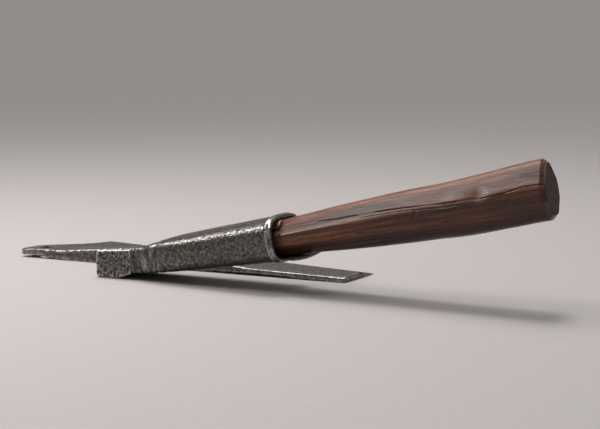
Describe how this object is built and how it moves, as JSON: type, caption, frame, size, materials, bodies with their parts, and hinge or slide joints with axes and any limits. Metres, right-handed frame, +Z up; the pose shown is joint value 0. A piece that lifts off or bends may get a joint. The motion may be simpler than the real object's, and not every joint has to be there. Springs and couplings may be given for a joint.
{
  "type": "side axe",
  "caption": "Side axe with a broad one-sided blade, a squared poll and an octagonal wooden handle wedged into a long tapered side socket.",
  "frame": {"origin": "on the blade's flat face, on the poll's centre line, 40 mm in from the straight back edge", "axes": "+X along the back edge from the horn to the heel, +Y across the blade from the back edge to the cutting edge, +Z up from the flat face"},
  "size_m": [0.5158, 0.1765, 0.1171],
  "materials": {
    "forged_iron": "forged, pitted and browned, worn bright on its edges",
    "edge_steel": "ground and dulled",
    "handle_wood": "dark, hand-worn and waxed by use",
    "packing_wood": "split, untreated"
  },
  "bodies": {
    "root": {"blade": "forged_iron", "edge_steel": "edge_steel", "neck": "forged_iron", "poll_block": "forged_iron", "socket": "forged_iron", "handle": "handle_wood", "top_shim": "packing_wood", "lower_wedge": "packing_wood"}
  },
  "joints": []
}
